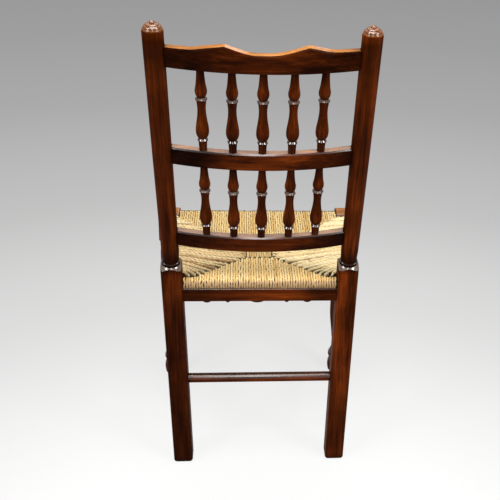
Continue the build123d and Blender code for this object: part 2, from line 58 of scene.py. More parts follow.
front_leg_leans = {1: math.radians(0.67), -1: 0.0}
ball_height = 0.020
rear_rail_setback = 0.003
rush_margin = 0.0145  # from the seat rails' axes to the outside of the rush
rush_low, rush_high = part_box("rush_seat")
leg_low, leg_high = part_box("front_leg_right")
front_y = (leg_low.y + leg_high.y) / 2
rear_y = front_y + leg_spacing
rear_leg_x = back_width / 2 - (bend_height - seat_level) * math.tan(leg_toe)

# Spindles, measured along the raked back from its bend
spindle_start = 0.0880
spindle_show = 0.1521
rail_height = 0.0344
spindle_painted_shading_levels = (
    (0.00, 0.58),
    (0.16, 0.50),
    (0.22, 0.68),
    (0.29, 1.00),
    (0.37, 0.92),
    (0.50, 0.62),
    (0.62, 0.55),
    (0.69, 0.50),
    (0.75, 1.00),
    (0.80, 0.92),
    (0.89, 0.46),
    (1.00, 0.28),
)  # shares of a spindle's height between its rails, and how light its painted shade and light make its wood there

# Rush strands
strand_radius = 0.00290
strand_pitch = 0.00535
strand_sides = 8
top_step = 0.0020  # between a strand's rings on top of the seat
top_end_gap = 0.3 * top_step  # least distance from the last of those rings to the roll
under_step = 0.0060
corner_rings = 9
side_rings = 7
twist_pitch = 0.019
twist_pitch_range = (0.8, 1.25)  # shares of that pitch, from strand to strand
twist_depth = 0.20  # share of the strand's radius
lobe_balance = 0.6  # share of that depth by which ridges and hollows are lowered
thickness_range = (0.90, 1.02)  # shares of strand_radius
strand_sway = 0.00030  # typical size of its waves to the side, at each of their lengths
sway_lengths = (0.015, 0.024, 0.041)
strand_heave = 0.00018  # the same for its waves up and down
heave_lengths = (0.012, 0.030)
strand_swell = 0.04  # the same for its thickness, as a share of it
swell_lengths = (0.011, 0.027)
strand_lift = 0.00025  # how unevenly high the strands lie

# Rush panels. The seams are measured from the plane of the rear legs' axes
roll_radius = 0.0125
seat_sag = 0.006
sag_run = 0.12  # from the seat's edge to where it has sagged in full
underside_sag = 0.4  # share of the top's sag
front_rise = 0.0035  # of the front edge above the rear edge
front_rise_start = 0.10  # from the rear legs' axes forward
front_proud = 0.0050  # by which the front roll stands out before the CAD solid
front_shadow = (0.012, 0.017)  # from the front edge back, where the painted shade of its roll ends
seam_depth = 0.008
dive_start = 0.0042  # from the seam to where a strand begins to dive
dive_roll_gap = 0.001  # least distance from the dive's start to the roll
dive_run = 0.0060
dive_middle = (0.0036, 0.38)  # distance past the dive's start, and share of its depth there
seam_overlap = 0.0012  # by which every other strand ends past the seam
cross_gap = 0.0030  # by which the others end short of it, in the front and rear panels
side_gap = 0.0080  # the same in the side panels
seam_scatter = 0.0006
rear_seam_x = 0.142  # where the rear seams' lines cross the plane
front_seam_drop = 0.130  # from the plane forward to where the front seams' lines meet
bridge_half_width = 0.029
bridge_drop = 0.112
shortest_top = 0.0005  # least flat length of a strand in the front and rear panels
leg_gap = 0.0004  # between the legs and the space for these panels' strands
side_strand_count = 58
side_seam_ends = (0.010, -0.320)  # where the first and the last side strand end
side_wander = 1.5  # how many times more than the others the side strands wander
side_turn_run = 0.004  # least distance from the seam to where a side strand runs straight
side_bend_share = 0.16  # share of the side strands that curve round the rear leg
side_overrun = 1.15  # how far a side strand's slant goes on, as a share of its run to the seam
curve_floor = 0.02  # least value under the root of the curve round the leg
steepest_slope = 5.0
still_step = 1e-7  # keeps that slope finite where a strand runs straight down

# Loose rush between the layers
packing_steps = 24
packing_half_depth = 0.163
packing_setback = 0.013  # from the rear legs' axes forward
packing_side_margin = 0.026
packing_cover = 0.0065  # of rush above and below it
packing_edge_drop = 0.012
packing_edge_run = 0.02

# Camera, as the photograph was taken
camera_place = Vector((0.0353, 1.55618, 1.17537))
camera_yaw = -0.088988
camera_pitch = 0.4744661
camera_roll = 0.0369677
image_size = 500
focal_pixels = 780.651
principal_point = (305.03, 285.042)
sensor_width = 36.0  # in millimetres


class Shader:
    """A material under construction, with short calls for the nodes used here."""

    def __init__(self, name):
        self.material = bpy.data.materials.new(name)
        self.material.use_nodes = True
        self.tree = self.material.node_tree
        self.tree.nodes.clear()
        self.surface = self.add("ShaderNodeBsdfPrincipled")
        self.output = self.add("ShaderNodeOutputMaterial")
        self.link(self.surface.outputs[0], self.output.inputs["Surface"])
        self.place = self.add("ShaderNodeTexCoord").outputs["Object"]

    def add(self, kind, **settings):
        node = self.tree.nodes.new(kind)
        for key, value in settings.items():
            setattr(node, key, value)
        return node

    def link(self, source, target):
        self.tree.links.new(source, target)

    def put(self, value, target):
        """Link a socket's value, or set it if it is a constant."""
        if isinstance(value, bpy.types.NodeSocket):
            self.link(value, target)
        else:
            target.default_value = value

    def set(self, socket, value):
        self.put(value, self.surface.inputs[socket])

    def math(self, operation, first, second=0.0, clamp=False):
        node = self.add("ShaderNodeMath", operation=operation, use_clamp=clamp)
        self.put(first, node.inputs[0])
        self.put(second, node.inputs[1])
        return node.outputs[0]

    def product(self, first, second):
        return self.math("MULTIPLY", first, second)

    def vector(self, operation, first, second, output="Vector"):
        node = self.add("ShaderNodeVectorMath", operation=operation)
        self.put(first, node.inputs[0])
        self.put(second, node.inputs[1])
        return node.outputs[output]

    def attribute(self, title):
        return self.add("ShaderNodeAttribute", attribute_name=title).outputs["Fac"]

    def split(self, vector):
        node = self.add("ShaderNodeSeparateXYZ")
        self.link(vector, node.inputs[0])
        return node.outputs

    def mix(self, share, first, second, blend="MIX"):
        node = self.add("ShaderNodeMix", data_type="RGBA", blend_type=blend)
        self.put(share, node.inputs["Factor"])
        self.put(first, node.inputs["A"])
        self.put(second, node.inputs["B"])
        return node.outputs["Result"]

    def times(self, colour, number):
        """A colour made lighter or darker by a number."""
        grey = self.add("ShaderNodeCombineColor")
        for socket in grey.inputs:
            self.put(number, socket)
        return self.mix(1.0, colour, grey.outputs[0], "MULTIPLY")

    def noise(self, vector, scale, detail=4.0, roughness=0.55):
        node = self.add("ShaderNodeTexNoise")
        self.link(vector, node.inputs["Vector"])
        node.inputs["Scale"].default_value = scale
        node.inputs["Detail"].default_value = detail
        node.inputs["Roughness"].default_value = roughness
        return node.outputs["Fac"]

    def ramp(self, value, low, high, start=0.0, end=1.0):
        node = self.add("ShaderNodeMapRange", interpolation_type="SMOOTHSTEP")
        self.put(value, node.inputs["Value"])
        node.inputs["From Min"].default_value = low
        node.inputs["From Max"].default_value = high
        node.inputs["To Min"].default_value = start
        node.inputs["To Max"].default_value = end
        return node.outputs["Result"]

    def levels(self, value, stops):
        """Grey that goes through the levels of the stops while the value goes from 0 to 1."""
        node = self.add("ShaderNodeValToRGB")
        self.link(value, node.inputs[0])
        elements = node.color_ramp.elements
        for index, (place, level) in enumerate(stops):
            element = elements[index] if index < 2 else elements.new(place)
            element.position = place
            element.color = (level, level, level, 1.0)
        return node.outputs[0]

    def occlusion(self, distance):
        node = self.add("ShaderNodeAmbientOcclusion", samples=8)
        node.inputs["Distance"].default_value = distance
        return node.outputs["AO"]

    def rounded(self, radius):
        """Normal of the surface with its edges eased."""
        node = self.add("ShaderNodeBevel", samples=4)
        node.inputs["Radius"].default_value = radius
        return node.outputs[0]

    def bump(self, height, strength, distance, normal=None):
        node = self.add("ShaderNodeBump")
        node.inputs["Strength"].default_value = strength
        node.inputs["Distance"].default_value = distance
        self.link(height, node.inputs["Height"])
        if normal is not None:
            self.link(normal, node.inputs["Normal"])
        self.set("Normal", node.outputs["Normal"])
        return node.outputs["Normal"]

    def upright_place(self):
        """Object coordinates in which the raked posts and legs stand upright."""
        x, y, z = self.split(self.place)
        above = self.math("SUBTRACT", z, bend_height)
        back = self.product(self.math("MAXIMUM", above, 0.0), math.tan(back_rake))
        down = self.product(self.math("MINIMUM", above, 0.0), math.tan(leg_rake))
        join = self.add("ShaderNodeCombineXYZ")
        self.link(x, join.inputs["X"])
        self.link(self.math("ADD", self.math("SUBTRACT", y, back), down), join.inputs["Y"])
        self.link(z, join.inputs["Z"])
        return join.outputs[0]


def shaded(colour, lightness):
    """A colour made lighter or darker, for a socket."""
    return tuple(lightness * value for value in colour) + (1.0,)


# Wood

dark_polish = (0.019, 0.0034, 0.0005)
brown_polish = (0.058, 0.0100, 0.0012)
red_polish = (0.130, 0.0235, 0.0024)
dark_honey = (0.34, 0.118, 0.023, 1.0)
pale_honey = (0.54, 0.22, 0.052, 1.0)
flank_painted_reflection = (0.72, 0.46, 0.34, 1.0)
dome_wear_and_light_brown = (0.230, 0.072, 0.012, 1.0)
pale_dust_and_sheen = (0.45, 0.33, 0.26, 1.0)
fibre_stretch = 0.030
figure_stretch = 0.10
edge_ease = 0.0012
nook_shade_reach = 0.030  # how near wood surfaces darken each other: painted shade, with polish gathered in the nooks
rail_end_shade_span = (0.035, 0.125)  # from a rail's middle, where the painted shade of its ends sets in

# How far up a surface faces where a finish, or painted sheen and light, sets in and where it is full
bare_slopes = (0.78, 0.95)
dust_and_sheen_slopes = (0.30, 0.65)
ledge_slopes = (0.25, 0.60)
dome_slopes = (0.05, 0.50)
glossy_slopes = (0.10, 0.38)
flank_reflection_leans = (-0.34, -0.14)  # how far it faces along X, where a flank gets a pale painted reflection

# Heights between which the tone of the back posts changes
leg_span = (0.02, 0.46)
shoulder_span = (bend_height - 0.02, bend_height)
neck_span = (bend_height + 0.005, bend_height + 0.055)
shaft_end_span = (0.85, 0.92)
dome_foot_span = (0.939, 0.954)
ledge_limit = (0.60, 0.61)
dome_start = (0.93, 0.94)
dome_span = (0.944, 0.960)
crown_span = (0.956, 0.962)

# How light the back posts are there (dirt and painted shade at the neck, worn polish and a painted
# reflection under the dome), and the shares of dust and painted sheen, of the dome's brown from wear and
# painted light, and of polish
neck_dirt_and_shade = 0.2
shaft_end_light = 0.6
dome_foot_wear_and_reflection = 2.0
ledge_dust_and_sheen = 0.30
dome_low_wear_and_light = 0.35
dome_wear_and_light_share = 0.8
dome_coat = 0.12

# Polish
full_coat = 0.9
least_coat = 0.010

# Axes that the grain follows
along_x = 0
along_y = 1
along_z = 2


def stretched(shader, place, grain, share):
    """Place in which a pattern is drawn out along the grain, more so with a smaller share."""
    scale = [1.0, 1.0, 1.0]
    scale[grain] = share
    return shader.vector("MULTIPLY", place, tuple(scale))


def grain_patterns(shader, place, grain):
    """Tone of the wood, its dark pores and its relief, all drawn out along the grain."""
    fibre_place = stretched(shader, place, grain, fibre_stretch)
    figure_place = stretched(shader, place, grain, figure_stretch)
    figure = shader.noise(figure_place, 60.0, 3.0)
    fibre = shader.noise(fibre_place, 330.0, 4.0, 0.6)
    tone = shader.math("ADD", shader.product(figure, 0.55), shader.product(fibre, 0.45))
    pores = shader.ramp(shader.noise(fibre_place, 1500.0, 2.0), 0.58, 0.70)
    relief = shader.math("ADD", shader.product(fibre, 0.4), shader.noise(figure_place, 110.0, 2.0))
    return tone, pores, relief


def spindle_painted_shading(shader):
    """Painted shade and light along a spindle: darker at its necks and rings, lighter on its bulbs."""
    offset = shader.vector("SUBTRACT", shader.place, (0.0, rear_y, bend_height))
    back = (0.0, math.sin(back_rake), math.cos(back_rake))
    rise = shader.math("SUBTRACT", shader.vector("DOT_PRODUCT", offset, back, "Value"), spindle_start)
    row = shader.math("FRACT", shader.math("DIVIDE", rise, spindle_show + rail_height))
    share = shader.product(row, 1.0 + rail_height / spindle_show)
    return shader.levels(share, spindle_painted_shading_levels)


def rail_end_shading(shader, colour, x, left, right):
    """A rail darkened towards its ends with painted shade."""
    start, full = rail_end_shade_span
    colour = shader.times(colour, shader.ramp(x, start, full, 1.0, left))
    return shader.times(colour, shader.ramp(x, -full, -start, right, 1.0))


def post_tones(shader, colour, z, up, foot, shank):
    """A back post's tones along its height, with dirt and painted shade at its neck and a painted
    reflection under its dome, its ledge's dust and painted sheen, and its dome's brown from wear and
    painted light.
    """
    spans = (
        (leg_span, foot / shank, 1.0),
        (shoulder_span, shank, neck_dirt_and_shade),
        (neck_span, 1.0, 1.0 / neck_dirt_and_shade),
        (shaft_end_span, 1.0, shaft_end_light),
        (dome_foot_span, 1.0, dome_foot_wear_and_reflection),
    )
    for span, low, high in spans:
        colour = shader.times(colour, shader.ramp(z, *span, low, high))
    # pale dust and painted sheen on the ledge of the post's square leg
    ledge = shader.product(shader.ramp(up, *ledge_slopes), shader.ramp(z, *ledge_limit, ledge_dust_and_sheen, 0.0))
    colour = shader.mix(ledge, colour, pale_dust_and_sheen)
    # the dome's upper faces, brown from wear and painted light from above
    dome = shader.product(shader.ramp(up, *dome_slopes), shader.ramp(z, *dome_span, dome_low_wear_and_light, 1.0))
    dome = shader.product(dome, shader.ramp(z, *dome_start))
    return shader.mix(shader.product(dome, dome_wear_and_light_share), colour, dome_wear_and_light_brown)


def bare_tops(shader, colour, wear, facing, blotch, tone):
    """Tops whose polish has worn down to honey-coloured wood, with a pale painted reflection on their
    flanks.
    """
    bare = shader.product(shader.ramp(facing["Z"], *bare_slopes), wear)
    bare = shader.product(bare, shader.ramp(blotch, 0.25, 0.6, 0.6, 1.0))
    honey = shader.mix(shader.ramp(tone, 0.4, 0.6), dark_honey, pale_honey)
    colour = shader.mix(bare, colour, honey)
    # pale painted reflection on flanks that lean sideways
    flank = shader.product(bare, shader.ramp(facing["X"], *flank_reflection_leans, 0.55, 0.0))
    return shader.mix(flank, colour, flank_painted_reflection)


def polish(shader, up, blotch, glossy, shine, post_height):
    """Coat weight of the polish. On a finial's dome it is thin, but for the crown."""
    coat = shader.ramp(up, *glossy, least_coat, full_coat * shine)
    patchy = shader.product(coat, shader.ramp(blotch, 0.2, 0.6, 0.75, 1.0))
    if post_height is None:
        return patchy
    thin = shader.product(patchy, shader.ramp(post_height, *dome_start, 1.0, dome_coat))
    return shader.math("MAXIMUM", thin, shader.product(coat, shader.ramp(post_height, *crown_span)))


def polished_wood(
    name,
    grain,
    lightness=1.0,
    wear=0.0,
    ends=None,
    post=None,
    dust=0.0,
    shine=1.0,
    glossy=glossy_slopes,
    spindle=False,
):
    """French-polished wood.

    Grain is the axis of its fibres and wear the share of bare tops. Ends are how light a rail is
    at its left and right end, in painted shade. Post is how light a back post is
    at the floor and at the top of its leg. Dust is the share of pale colour on its narrow ledges,
    part dust and part painted sheen. Shine is how strong the polish is, and glossy between which
    slopes it sets in. A spindle gets painted shade and light along its length.
    """
    shader = Shader(name)
    place = shader.upright_place()
    tone, pores, relief = grain_patterns(shader, place, grain)
    blotch = shader.noise(place, 14.0, 3.0)

    dark = shaded(dark_polish, lightness)
    brown = shaded(brown_polish, lightness)
    red = shaded(red_polish, lightness)
    colour = shader.mix(shader.ramp(tone, 0.36, 0.52), dark, brown)
    colour = shader.mix(shader.ramp(tone, 0.50, 0.66), colour, red)
    colour = shader.times(colour, shader.ramp(blotch, 0.3, 0.7, 0.75, 1.25))
    spot = shader.split(shader.place)
    if ends is not None:
        # painted shade towards the rail's ends
        colour = rail_end_shading(shader, colour, spot["X"], *ends)
    if spindle:
        # painted shade and light along the spindle, by height
        colour = shader.times(colour, spindle_painted_shading(shader))

    eased = shader.rounded(edge_ease)
    facing = shader.split(eased)
    up = facing["Z"]
    if post is not None:
        colour = post_tones(shader, colour, spot["Z"], up, *post)
    colour = bare_tops(shader, colour, wear, facing, blotch, tone)
    colour = shader.mix(shader.product(pores, 0.55), colour, dark)
    # painted shade in nooks, with gathered polish
    colour = shader.times(colour, shader.ramp(shader.occlusion(nook_shade_reach), 0.35, 0.95, 0.30, 1.0))
    # pale dust and painted sheen on faces that look up
    if dust != 0.0:
        colour = shader.mix(shader.ramp(up, *dust_and_sheen_slopes, 0.0, dust), colour, pale_dust_and_sheen)

    shader.set("Base Color", colour)
    shader.set("Roughness", shader.ramp(shader.noise(place, 70.0, 3.0), 0.3, 0.75, 0.36, 0.52))
    shader.set("Specular IOR Level", 0.01)
    shader.set("Specular Tint", (1.0, 0.6, 0.4, 1.0))
    post_height = spot["Z"] if post is not None else None
    shader.set("Coat Weight", polish(shader, up, blotch, glossy, shine, post_height))
    shader.set("Coat Roughness", 0.18)
    shader.set("Coat IOR", 2.0)
    shader.set("Coat Normal", shader.bump(relief, 0.10, 0.0006, eased))
    return shader.material


def raw_wood():
    """Dull brown wood of the rails inside the seat."""
    shader = Shader("raw_wood")
    tone = shader.noise(shader.upright_place(), 160.0)
    shader.set("Base Color", shader.mix(tone, (0.05, 0.03, 0.015, 1.0), (0.12, 0.075, 0.04, 1.0)))
    shader.set("Roughness", shader.ramp(tone, 0.2, 0.8, 0.7, 0.9))
    shader.bump(tone, 0.4, 0.0006)
    return shader.material


def dull_steel():
    """Rusted steel of the panel pins."""
    shader = Shader("dull_steel")
    tone = shader.noise(shader.place, 900.0, 3.0)
    shader.set("Base Color", shader.mix(tone, (0.012, 0.006, 0.003, 1.0), (0.04, 0.022, 0.012, 1.0)))
    shader.set("Metallic", 0.2)
    shader.set("Specular IOR Level", 0.1)
    shader.set("Roughness", shader.ramp(tone, 0.2, 0.8, 0.45, 0.7))
    return shader.material


def dress_nodes():
    """Give each CAD node its material, with the grain along its length."""
    spindle = polished_wood("upright_wood", along_z, lightness=1.15, dust=0.16, spindle=True)
    left_post = polished_wood("left_post_wood", along_z, post=(0.36, 0.82))
    right_post = polished_wood("right_post_wood", along_z, post=(0.75, 1.55))
    across = polished_wood("across_wood", along_x)
    crest = polished_wood(
        "crest_wood",
        along_x,
        lightness=0.68,
        wear=1.0,
        ends=(0.4, 0.85),
        shine=0.28,
        glossy=(0.80, 0.97),
    )
    middle = polished_wood("middle_wood", along_x, lightness=1.5, wear=0.8, ends=(0.08, 0.28))
    lower = polished_wood("lower_wood", along_x, lightness=1.25, wear=0.65, ends=(0.27, 0.17))
    block = polished_wood("block_wood", along_z, wear=0.9, shine=0.6)
    strip = polished_wood("strip_wood", along_x, lightness=1.65, ends=(0.36, 0.32))
    deep = polished_wood("deep_wood", along_y)
    raw = raw_wood()
    steel = dull_steel()
    choices = (
        ("back_post_left", left_post),
        ("back_post_right", right_post),
        ("crest_rail", crest),
        ("middle_rail", middle),
        ("lower_rail", lower),
        ("front_stretcher", across),
        ("rear_stretcher", across),
        ("side_stretcher", deep),
        ("edging_strip_front", strip),
        ("edging_strip_rear", strip),
        ("edging_strip", deep),
        ("edging_pins", steel),
        ("front_leg", block),
        ("seat_", raw),
        ("", spindle),
    )
    for name, node in nodes.items():
        chosen = next(material for start, material in choices if name.startswith(start))
        node.data.materials.clear()
        node.data.materials.append(chosen)


# Rush

golden = ((0.99, 0.77, 0.39), (0.98, 0.67, 0.27), (0.80, 0.50, 0.18))
pale_straw = ((0.99, 0.84, 0.51), (0.97, 0.74, 0.37), (0.50, 0.31, 0.12))
warm_straw = ((0.99, 0.80, 0.46), (0.96, 0.68, 0.31), (0.45, 0.25, 0.09))
dirty_shaded_straw = (0.47, 0.30, 0.16)
dirty_shaded_drop = 0.0060  # below the seat's top, where the rush is dull with dirt and painted shade
dirty_shaded_share = 0.86
dive_dirt_and_shade = 0.10  # how light the strands are where they have dived into a seam: dirt and painted shade
front_roll_shade = 0.22  # how light the painted shade leaves the front roll
gap_shade_reach = 0.0045  # how near strands darken each other with painted shade
random = np.random.default_rng(11)


def rush_material(name, tint, shade=1.0, twist=0.75, gaps=0.45, marks=(1.0, 1.0, 1.0), streaks=0.45):
    """Twisted rush: every strand has its own tone.

    Tint holds its pale, middle and brown colours, and shade is how light they are. Twist and gaps
    are how light the painted shade leaves the hollows in and between strands. Streaks is how much
    one strand differs from the next, and marks how fine the marks are along each axis.
    """
    shader = Shader(name)
    tone = shader.attribute("tone")
    along = shader.noise(shader.vector("MULTIPLY", shader.place, marks), 75.0, 3.0)
    mixed = shader.math("ADD", shader.product(tone, streaks), shader.product(along, 1.05 - streaks))
    pale, straw, brown = [shaded(colour, shade) for colour in tint]
    colour = shader.mix(shader.ramp(mixed, 0.22, 0.45), brown, straw)
    colour = shader.mix(shader.ramp(mixed, 0.42, 0.75), colour, pale)
    fleck = shader.ramp(shader.noise(shader.place, 520.0, 3.0), 0.30, 0.62, 0.78, 1.06)
    colour = shader.times(colour, fleck)
    # painted shade in the hollows of the twist
    colour = shader.times(colour, shader.ramp(shader.attribute("groove"), 0.25, 1.0, 1.0, twist))
    # dirt and painted shade on the roll over the seat's edge
    low = shader.ramp(shader.attribute("drop"), 0.0, dirty_shaded_drop, 0.0, dirty_shaded_share)
    colour = shader.mix(low, colour, shaded(dirty_shaded_straw, shade))
    # painted shade between strands
    colour = shader.times(colour, shader.ramp(shader.occlusion(gap_shade_reach), 0.10, 0.60, gaps, 1.0))
    # dirt and painted shade where strands dive into the seams
    colour = shader.times(colour, shader.ramp(shader.attribute("dive"), 0.1, 0.9, 1.0, dive_dirt_and_shade))
    # painted shade on the front roll
    start, end = [rush_low.y - front_proud + distance for distance in front_shadow]
    y = shader.split(shader.place)["Y"]
    colour = shader.times(colour, shader.ramp(y, start, end, front_roll_shade, 1.0))
    shader.set("Base Color", colour)
    shader.set("Roughness", 0.45)
    shader.set("Specular IOR Level", 0.35)
    shader.bump(shader.noise(shader.place, 1100.0, 3.0), 0.35, 0.0006)
    return shader.material


def smooth(share):
    """Share from 0 to 1 that starts and ends gently."""
    share = np.clip(share, 0.0, 1.0)
    return share * share * (3.0 - 2.0 * share)


def strand_profile(length):
    """Distance from the seam and height of a strand, over the roll and back under."""
    high = rush_high.z - strand_radius
    low = rush_low.z + strand_radius
    corner = roll_radius - strand_radius
    edge = length - corner
    turn = np.linspace(0.0, math.pi / 2, corner_rings)
    start = min(dive_start, edge - dive_roll_gap)
    middle, share = dive_middle
    dive = [(start - dive_run, seam_depth), (start - middle, share * seam_depth), (start, 0.0)]
    top = [(run, high - depth) for run, depth in dive]
    top += [(run, high) for run in np.arange(start + top_step, edge - top_end_gap, top_step)]
    over = [(edge + corner * math.sin(t), high - corner + corner * math.cos(t)) for t in turn]
    side = [(length, z) for z in np.linspace(high - corner, low + corner, side_rings)[1:-1]]
    under = [(edge + corner * math.cos(t), low + corner - corner * math.sin(t)) for t in turn]
    under += [(run, low) for run in np.arange(edge - under_step, start, -under_step)]
    end = [(run, low + depth) for run, depth in reversed(dive)]
    return np.array(top + over + side + under + end)


def on_top(height):
    """Whether a strand runs in the upper layer of the seat."""
    return height > (rush_high.z + rush_low.z) / 2


def sag(run, length, height):
    """How far a strand has settled: more on top than on the underside."""
    share = smooth((length - run - roll_radius) / sag_run)
    return np.where(on_top(height), -seat_sag, underside_sag * seat_sag) * share


def waves(travel, size, lengths):
    """Gentle wandering along a strand."""
    total = np.zeros(len(travel))
    for length in lengths:
        phase = random.uniform(0.0, 2 * math.pi)
        total += random.normal(0.0, size) * np.sin(2 * math.pi * travel / length + phase)
    return total


def twisted(travel, angles):
    """Radius of a twisted strand round its middle line, and the height of its lobes."""
    pitch = twist_pitch * random.uniform(*twist_pitch_range)
    spin = 2 * math.pi * travel / pitch + random.uniform(0.0, 2 * math.pi)
    lobes = np.cos(2 * (angles[None, :] - spin[:, None]))
    size = strand_radius * random.uniform(*thickness_range)
    size = size * (1.0 + waves(travel, strand_swell, swell_lengths))
    return size[:, None] * (1.0 + twist_depth * (lobes - lobe_balance)), lobes


class Weave:
    """Gathers strands into one mesh."""

    def __init__(self, wander=1.0):
        self.wander = wander
        self.points = []
        self.faces = []
        self.caps = []
        self.marks = {"tone": [], "groove": [], "dive": [], "drop": []}
        self.count = 0

    def strand(self, plan, length):
        """Add a strand. The plan gives its place and height at distances from the seam."""
        profile = strand_profile(length)
        run, height = profile[:, 0], profile[:, 1].copy()
        drop = rush_high.z - strand_radius - height
        height += sag(run, length, height)
        flat, lateral, height = plan(run, height)
        centre = np.column_stack([flat, height])
        steps = np.linalg.norm(np.diff(centre, axis=0), axis=1)
        travel = np.concatenate([[0.0], np.cumsum(steps)])
        centre += lateral * waves(travel, strand_sway * self.wander, sway_lengths)[:, None]
        lift = random.normal(0.0, strand_lift * self.wander)
        centre[:, 2] += waves(travel, strand_heave * self.wander, heave_lengths) + lift
        tangent = np.gradient(centre, axis=0)
        tangent /= np.linalg.norm(tangent, axis=1)[:, None]
        normal = np.cross(tangent, lateral)
        normal /= np.linalg.norm(normal, axis=1)[:, None]
        angles = np.linspace(0.0, 2 * math.pi, strand_sides, endpoint=False)
        radius, lobes = twisted(travel, angles)
        across = np.cos(angles)[None, :, None] * lateral[:, None, :]
        upward = np.sin(angles)[None, :, None] * normal[:, None, :]
        start = profile[2, 0]  # the third point, where the dive begins
        dive = np.clip((start - run) / dive_middle[0], 0.0, 1.0)
        self.marks["dive"].append(np.repeat(dive, strand_sides))
        self.marks["drop"].append(np.repeat(drop, strand_sides))
        self.marks["groove"].append((0.5 - 0.5 * lobes).ravel())
        self.add_tube(centre[:, None, :] + radius[:, :, None] * (across + upward))

    def add_tube(self, rings):
        """Skin a row of rings with quads, and close its ends."""
        number = len(rings)
        index = self.count + np.arange(number * strand_sides).reshape(number, strand_sides)
        near, far = index[:-1], index[1:]
        quads = np.stack([far, np.roll(far, -1, 1), np.roll(near, -1, 1), near], 2)
        self.points.append(rings.reshape(-1, 3))
        self.faces.append(quads.reshape(-1, 4))
        self.caps += [index[0].tolist(), index[-1][::-1].tolist()]
        self.marks["tone"].append(np.full(index.size, random.uniform(0.0, 1.0)))
        self.count += index.size

    def build(self, name, material):
        """Keep the strands between the seat's levels, raise its front and make the piece."""
        points = np.concatenate(self.points)
        points[:, 2] = np.clip(points[:, 2], rush_low.z, rush_high.z)
        forward = rear_y - front_rise_start - points[:, 1]
        points[:, 2] += front_rise * smooth(forward / (leg_spacing - front_rise_start))
        mesh = bpy.data.meshes.new(name)
        mesh.from_pydata(points.tolist(), [], np.concatenate(self.faces).tolist() + self.caps)
        for title, values in self.marks.items():
            layer = mesh.attributes.new(title, "FLOAT", "POINT")
            layer.data.foreach_set("value", np.concatenate(values).astype(np.float32))
        return add_piece(name, mesh, material, "rush_seat")


def add_piece(name, mesh, material, node):
    """Put a mesh into the scene, in the place of a CAD node."""
    mesh.polygons.foreach_set("use_smooth", [True] * len(mesh.polygons))
    mesh.materials.append(material)
    piece = bpy.data.objects.new(name, mesh)
    bpy.context.scene.collection.objects.link(piece)
    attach(piece, "root")
    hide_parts(node)
    return piece


def front_leg_x(side):
    """Distance of a front leg's axis from the middle, at the seat."""
    lean = front_leg_leans[side]
    return front_width / 2 - (seat_level - ball_height) * math.tan(lean)


def rush_edge_x(side, y):
    """Half width of the seat on one side at y."""
    slope = (front_leg_x(side) - rear_leg_x) / (leg_spacing - rear_rail_setback)
    forward = rear_y - rear_rail_setback - y
    return rear_leg_x + slope * forward + rush_margin * math.hypot(1.0, slope)


def rear_seam(x):
    """Where the rear panel ends at x, from the rear legs' axes."""
    return -bridge_drop if x < bridge_half_width else x - rear_seam_x


def front_seam(x):
    """Where the front panel ends at x, from the rear legs' axes."""
    return -bridge_drop if x < bridge_half_width else -front_seam_drop - x


def side_seam(y):
    """Half width of the gap between the side panels at a distance from the rear legs' axes."""
    return max(rear_seam_x + y, -front_seam_drop - y, bridge_half_width)


def end_shift(number, gap):
    """Strands end a little before and behind the seam in turn, as they pass under each other."""
    return (gap if number % 2 else -seam_overlap) + random.normal(0.0, seam_scatter)


def cross_plan(x, seam, facing):
    """Route of a strand that runs straight to the front or the rear."""

    def plan(run, height):
        flat = np.column_stack([np.full(len(run), x), seam + facing * run])
        lateral = np.tile([-float(facing), 0.0, 0.0], (len(run), 1))
        return flat, lateral, height

    return plan


def cross_panel(name, outer_y, facing, seam_at, lowest_x, highest_x, shade):
    """Rear or front panel: strands that run from front to back."""
    weave = Weave()
    count = round((highest_x - lowest_x) / strand_pitch)
    for number in range(count):
        x = lowest_x + (number + 0.5) * (highest_x - lowest_x) / count
        seam = rear_y + seam_at(abs(x)) + facing * end_shift(number, cross_gap)
        length = facing * (outer_y - seam) - strand_radius
        length = max(length, roll_radius - strand_radius + shortest_top)
        seam = outer_y - facing * (length + strand_radius)
        weave.strand(cross_plan(x, seam, facing), length)
    return weave.build(name, rush_material(name, golden, shade, twist=0.84, gaps=0.75))


def rear_roll_height(y):
    """Height of a strand's middle where it follows the rear roll down."""
    radius = roll_radius - strand_radius
    centre = rear_y - rear_rail_setback + rush_margin - roll_radius
    past = np.clip(y - centre, 0.0, radius)
    return rush_high.z - roll_radius + np.sqrt(radius**2 - past**2)


def side_plan(side, x_seam, x_turn, y_seam, y_rail, bend):
    """Route of a strand that runs sideways, and bends on its way to the seam."""

    def plan(run, height):
        x = x_seam + run
        part = np.clip((x_turn - x) / (x_turn - x_seam), 0.0, side_overrun)
        arc = 1.0 - np.sqrt(np.clip(1.0 - part**2, curve_floor, 1.0))
        y = y_rail + (y_seam - y_rail) * ((1.0 - bend) * part + bend * arc)
        slope = np.gradient(y) / np.gradient(x + still_step * np.arange(len(x)))
        slope = np.clip(slope, -steepest_slope, steepest_slope) * (part > 0.0)
        size = np.sqrt(1.0 + slope**2)
        lateral = np.column_stack([-slope / size, side / size, np.zeros(len(run))])
        height = np.where(on_top(height), np.minimum(height, rear_roll_height(y)), height)
        return np.column_stack([side * x, y]), lateral, height

    return plan


